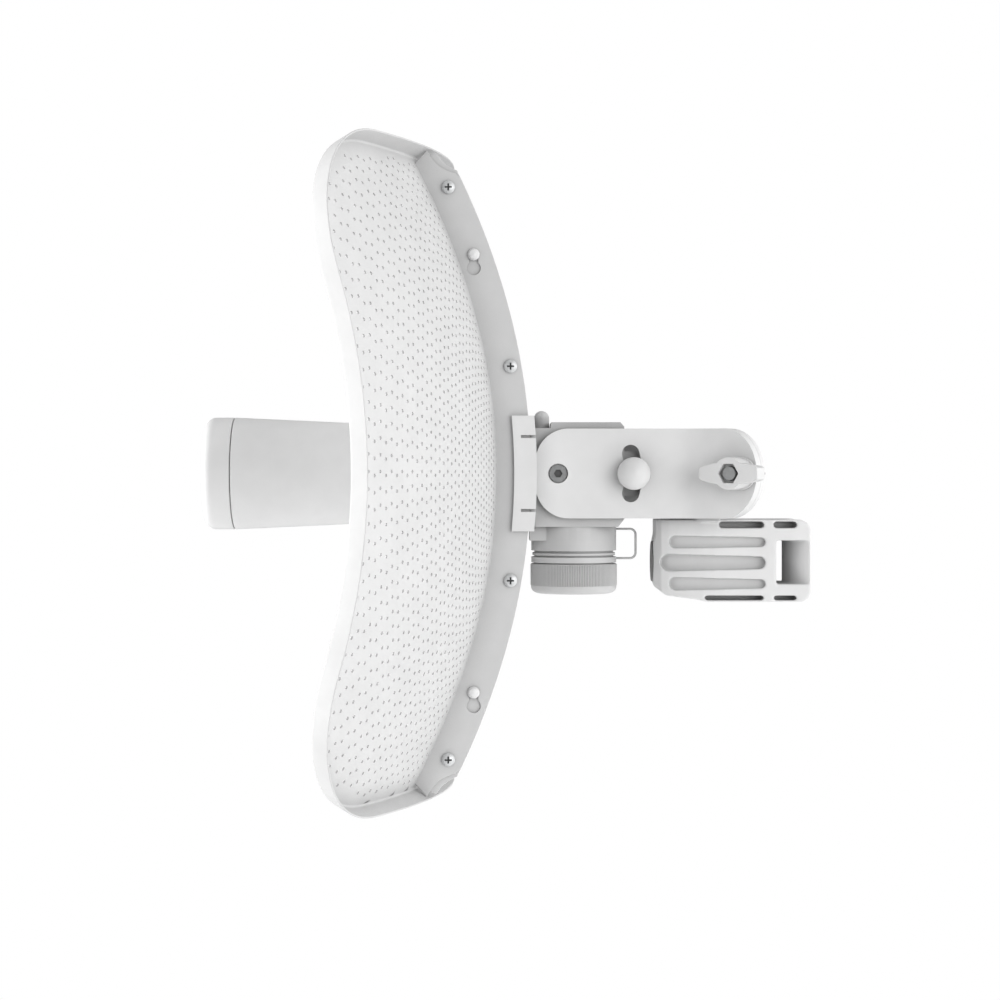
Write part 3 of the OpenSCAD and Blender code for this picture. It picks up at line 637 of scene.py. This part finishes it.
def build_centre():
    """The middle panel, with a lip along its top and bottom, a feed hole and a flange on each side."""
    steps = 44
    ys = [-SEAM_Y + 2 * SEAM_Y * i / steps for i in range(steps + 1)]
    h = HALF_H - FOLD_R
    top = [bowed(y, h) for y in ys]
    bottom = [(y, -z) for y, z in reversed(top)]
    seams = [seam_points(y, top[0][1]) for y in (-SEAM_Y, SEAM_Y)]
    outline = bottom[::-1] + seams[1][::-1] + top[::-1] + seams[0]
    feed_hole = [Vector(p) for p in circle_loop(0, 0, FEED_HOLE_R, 64)]
    holes = [feed_hole]
    holes += perforations(-SEAM_Y, SEAM_Y)
    inner = [(y * 0.99, sign * (z - inset))
             for inset in INNER_INSETS for y, z in top for sign in (1, -1)]
    panel("dish_centre_sheet", "dish_centre", outline, holes, inner, [lip(top), lip(bottom)])
    for side, word in ((-1, "left"), (1, "right")):
        loops = [circle_loop(x, z, THREADED_HOLE_R) for x, z in hardware_spots(SCREW_SPOTS)]
        loops += [circle_loop(x, z, PEG_SLOT_R) for x, z in hardware_spots([PEG_SPOT])]
        plate = flange("dish_centre_flange_" + word, side * (SEAM_Y - SHEET_T), side * SEAM_Y,
                       flange_outline(side, CENTRE_TIP, CENTRE_HOLLOW), loops)
        dress(plate, "dish_centre")
        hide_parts("dish_centre")


build_wing(-1, "dish_wing_left")
build_wing(1, "dish_wing_right")
build_centre()


# Feed, knob and port cap -------------------------------------------------------------

FEED_FRONT = -157.4
FEED_CROWN = 0.6       # how far the cap's face bulges
FEED_SEAM = -144.0
FEED_R = 25.0
FEED_ROOT_R = 19.3
FEED_ROOT_X = -19.0
FEED_WALL = 1.8
SPIGOT_R = 17.0
SPIGOT_END = -10.4
SEAM_HALF = 0.15       # half the width of the gap between tube and cap
SEAM_BEVEL = 0.35      # size of the bevels that turn the gap into a groove
AXIS_R = 0.01          # radius of the pinhole that a turned face has at its axis
X_AXIS = Vector((1, 0, 0))


def build_feed():
    """The tapered tube, and its cap with a rounded front edge and a fine groove at the seam."""
    rear = FEED_SEAM + SEAM_HALF
    front = FEED_SEAM - SEAM_HALF
    step_x = FEED_ROOT_X - 2
    tube = lathe("feed_tube_turned", [
        (rear, FEED_R - SEAM_BEVEL), (rear + SEAM_BEVEL, FEED_R), (FEED_ROOT_X, FEED_ROOT_R),
        (FEED_ROOT_X, SPIGOT_R), (SPIGOT_END, SPIGOT_R), (SPIGOT_END, SPIGOT_R - FEED_WALL),
        (step_x, SPIGOT_R - FEED_WALL), (step_x, FEED_ROOT_R - FEED_WALL),
        (rear, FEED_R - FEED_WALL)], PIVOT, X_AXIS)
    dress(tube, "feed_tube")
    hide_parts("feed_tube")
    edge_r = 4.5
    flat_r = FEED_R - edge_r
    corner = [(FEED_FRONT + FEED_CROWN + edge_r * (1 - math.cos(a)), flat_r + edge_r * math.sin(a))
              for a in [math.pi / 20 * k for k in range(11)]]
    crown = [(FEED_FRONT + FEED_CROWN * (r / flat_r) ** 2, r) for r in (AXIS_R, 7, 14)]
    hollow = [(front, FEED_R - 2.1), (FEED_SEAM - 8, FEED_R - 2.2), (FEED_FRONT + 2.6, FEED_R - 6),
              (FEED_FRONT + 2.4, AXIS_R)]
    cap = lathe("feed_cap_turned", crown + corner + [
        (front - SEAM_BEVEL, FEED_R), (front, FEED_R - SEAM_BEVEL)] + hollow, PIVOT, X_AXIS)
    dress(cap, "feed_cap")
    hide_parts("feed_cap")


def build_knob():
    """Ball-topped knob on the near end of the tilt bolt."""
    low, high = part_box("tilt_knob")
    radius = (high.x - low.x) / 2 / MM
    seat = high.y
    rim = 4.0
    centre = Vector(((low.x + high.x) / 2, seat, (low.z + high.z) / 2))
    profile = [(0, 3.1), (0, radius - 0.9), (0.35, radius - 0.35), (0.9, radius)]
    profile += [(rim + radius * math.sin(a), radius * math.cos(a) + 0.001)
                for a in [math.pi / 32 * k for k in range(17)]]
    profile += [(rim + 3.4, 0.001), (rim + 3.4, 3.1)]
    knob = lathe("tilt_knob_turned", profile, centre, Vector((0, -1, 0)), 96)
    dress(knob, "tilt_knob")
    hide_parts("tilt_knob")


def build_port_cap():
    """Screw cap with fine ribs round its grip and a rounded lower edge."""
    low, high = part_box("port_cap")
    radius = (high.x - low.x) / 2 / MM
    height = (high.z - low.z) / MM
    centre = Vector(((low.x + high.x) / 2, (low.y + high.y) / 2, low.z))
    ribs = 160
    rib_depth = 0.45
    grip = (3.7, height - 0.5)
    bore_r = 17.95

    def ribbed(along, r, angle):
        """The radius less the grooves between the ribs."""
        if r < radius - 0.01 or not grip[0] <= along <= grip[1]:
            return r
        wave = 0.5 - 0.5 * math.cos(ribs * angle)
        return r - rib_depth * wave ** 2

    rounding = [(3.0 - 3.0 * math.sin(a), radius - 0.25 - 3.6 + 3.6 * math.cos(a))
                for a in [math.pi / 16 * k for k in range(8, -1, -1)]]
    side = [(3.55, radius - 0.22), (grip[0], radius), (grip[1], radius), (height - 0.35, radius - 0.22)]
    mouth = [(height - 0.1, radius - 0.4), (height, radius - 0.7), (height, bore_r), (2.2, bore_r)]
    profile = [(0, AXIS_R)] + rounding + side + mouth + [(2.2, AXIS_R)]
    cap = lathe("port_cap_turned", profile, centre, Vector((0, 0, 1)), ribs * 6, ribbed)
    dress(cap, "port_cap")
    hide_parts("port_cap")


build_feed()
build_knob()
build_port_cap()


# Screws and softened pieces ----------------------------------------------------------

CROSS_REACH = 1.6      # how far a cross recess runs from its screw's axis
CROSS_FLOOR = 0.7      # height of its floor over the flange
HEAD_CROWN = 0.95      # height over which faces that look outwards belong to the head's crown
SOCKET_REACH = 2.0     # how far a hexagon socket runs from its screw's axis
SOCKET_HEAD = 21.95    # distance of the pivot screws' head base from the middle plane


def build_screws(node, spots, recess):
    """A node's screws as modelled, their drive recesses darkened with painted shade.

    recess says whether a face belongs to a recess, from its middle in millimetres, its distance
    from the nearest screw's axis, and its normal.
    """
    mesh = frame["nodes"][node].data.copy()
    screws = bpy.data.objects.new(node + "_finished", mesh)
    bpy.context.scene.collection.objects.link(screws)
    for face in mesh.polygons:
        middle = (face.center - PIVOT) / MM
        off_axis = min(math.hypot(middle.x - x, middle.z - z) for x, z in spots)
        face.material_index = int(recess(middle, off_axis, face.normal))
    dress(screws, node, PAINTED_RECESS_SHADE)
    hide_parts(node)


def in_cross(middle, off_axis, normal):
    """The walls and floor of a flange screw's cross recess."""
    depth = abs(middle.y) - SEAM_Y - SHEET_T
    crown = abs(normal.y) > 0.5 and depth > HEAD_CROWN
    return depth > CROSS_FLOOR and off_axis < CROSS_REACH and not crown


def in_socket(middle, off_axis, normal):
    """The walls and floor of a pivot screw's hexagon socket."""
    return abs(middle.y) > SOCKET_HEAD and off_axis < SOCKET_REACH


build_screws("flange_screws", hardware_spots(SCREW_SPOTS), in_cross)
build_screws("pivot_screws", [(0.0, 0.0)], in_socket)

# Pieces whose CAD shape only needs its edges rounded, with the radius in millimetres
ROUNDED = {"dish_cradle": 0.2, "elevation_yoke": 0.5, "rear_housing": 0.8, "wing_nut": 0.45,
           "neck_gasket": 0.3, "mount_plug": 0.3, "clamp_bolt": 0.25, "tilt_bolt": 0.25,
           "tilt_washers": 0.15}
MOUNT_HEAD = -20.6     # the head plate of the pole mount begins at this height
for node_name, radius_mm in ROUNDED.items():
    rounded_copy(node_name, radius_mm)
bpy.data.objects["clamp_bolt_rounded"].data.materials[0] = DULL_ZINC
moulded_copy("pole_mount", 0.4, 10, MOUNT_HEAD)

# The CAD nodes that nothing stands for are seen as they are
for node_name, node_object in frame["nodes"].items():
    node_object.data.materials.clear()
    node_object.data.materials.append(MATERIALS[SLOT_OF[node_name]])

# Stage, light and camera -------------------------------------------------------------

# Lengths in metres
FLOOR_Z = -0.36
FLOOR_R = 0.74
FLOOR_GLOW = 0.15
LIGHT_ROUND = 0.13     # strength of the surroundings along the photo's line of sight
LIGHT_LEFT = 3.8       # what they gain towards the left
LIGHT_RIGHT = 1.7      # and towards the right
LIGHT_FOCUS = 1.5      # how closely the bright parts keep to the sides
LIGHT_UPRIGHT = 0.28   # share of it towards the top and bottom
SOFTBOX_WATTS = 11.8
SOFTBOX_SIZE = 1.2
SOFTBOX_AT = (0.8, -1.45, 0.2)      # from the pivot
CAMERA_AT = (-0.0255, -1.1, 0)      # from the pivot
CAMERA_LENS = 88.4                  # in millimetres, on a 36 mm sensor
CAMERA_SHIFT = -0.0265


def build_floor():
    """Round pale floor, well below the object."""
    around = [math.tau * k / 96 for k in range(96)]
    points = [(PIVOT.x + FLOOR_R * math.cos(a), FLOOR_R * math.sin(a), FLOOR_Z) for a in around]
    floor = mesh_object("floor", points, [list(range(len(points)))])
    floor.data.materials.append(finish_material("floor_paint", neutral(0.93), neutral(0.96),
                                                (0.7, 0.85), 400, 0.00005, patch=6))
    shader = floor.data.materials[0].node_tree.nodes["Principled BSDF"]
    shader.inputs["Emission Color"].default_value = (1, 1, 1, 1)
    shader.inputs["Emission Strength"].default_value = FLOOR_GLOW


def math_node(nodes, links, operation, first, second):
    """The output of a math node whose two inputs are sockets or numbers."""
    made = nodes.new("ShaderNodeMath")
    made.operation = operation
    for slot, value in zip(made.inputs, (first, second)):
        if isinstance(value, float):
            slot.default_value = value
        else:
            links.new(value, slot)
    return made.outputs["Value"]


def build_light():
    """White surroundings, brightest at the sides, and a soft lamp at the right, in front.

    The strength is LIGHT_ROUND + gain * (x * x + LIGHT_UPRIGHT * z * z) ** LIGHT_FOCUS, where x and z
    are parts of the unit vector outwards and the gain runs from LIGHT_LEFT to LIGHT_RIGHT.
    """
    world = bpy.data.worlds.new("studio")
    bpy.context.scene.world = world
    world.use_nodes = True
    nodes = world.node_tree.nodes
    links = world.node_tree.links
    sky = nodes.new("ShaderNodeTexCoord")
    parts = nodes.new("ShaderNodeSeparateXYZ")
    links.new(sky.outputs["Generated"], parts.inputs["Vector"])
    sideways = math_node(nodes, links, "MULTIPLY", parts.outputs["X"], parts.outputs["X"])
    upright = math_node(nodes, links, "MULTIPLY", parts.outputs["Z"], parts.outputs["Z"])
    upright = math_node(nodes, links, "MULTIPLY", upright, LIGHT_UPRIGHT)
    off_sight = math_node(nodes, links, "ADD", sideways, upright)
    focused = math_node(nodes, links, "POWER", off_sight, LIGHT_FOCUS)
    gain = nodes.new("ShaderNodeMapRange")
    gain.inputs["From Min"].default_value = -1.0
    gain.inputs["To Min"].default_value = LIGHT_LEFT
    gain.inputs["To Max"].default_value = LIGHT_RIGHT
    links.new(parts.outputs["X"], gain.inputs["Value"])
    around = math_node(nodes, links, "MULTIPLY", focused, gain.outputs["Result"])
    strength = math_node(nodes, links, "ADD", around, LIGHT_ROUND)
    light = nodes["Background"]
    light.inputs["Color"].default_value = (1, 1, 1, 1)
    links.new(strength, light.inputs["Strength"])
    seen = nodes.new("ShaderNodeBackground")
    seen.inputs["Color"].default_value = (1, 1, 1, 1)
    path = nodes.new("ShaderNodeLightPath")
    mix = nodes.new("ShaderNodeMixShader")
    links.new(path.outputs["Is Camera Ray"], mix.inputs["Fac"])
    links.new(light.outputs["Background"], mix.inputs[1])
    links.new(seen.outputs["Background"], mix.inputs[2])
    links.new(mix.outputs["Shader"], nodes["World Output"].inputs["Surface"])
    lamp = bpy.data.lights.new("softbox", "AREA")
    lamp.shape = "DISK"
    lamp.size = SOFTBOX_SIZE
    lamp.energy = SOFTBOX_WATTS
    softbox = bpy.data.objects.new("softbox", lamp)
    softbox.location = PIVOT + Vector(SOFTBOX_AT)
    softbox.rotation_euler = (PIVOT - softbox.location).to_track_quat("-Z", "Y").to_euler()
    bpy.context.scene.collection.objects.link(softbox)


def build_camera():
    """Looks along +Y, level with the dish's axis, as far off as the dish's perspective shows."""
    lens = bpy.data.cameras.new("camera")
    lens.sensor_width = 36.0
    lens.lens = CAMERA_LENS
    lens.shift_y = CAMERA_SHIFT
    camera = bpy.data.objects.new("camera", lens)
    camera.location = PIVOT + Vector(CAMERA_AT)
    camera.rotation_euler = (math.pi / 2, 0, 0)
    bpy.context.scene.collection.objects.link(camera)
    bpy.context.scene.camera = camera


build_floor()
build_light()
build_camera()
bpy.context.scene.view_settings.view_transform = "Standard"
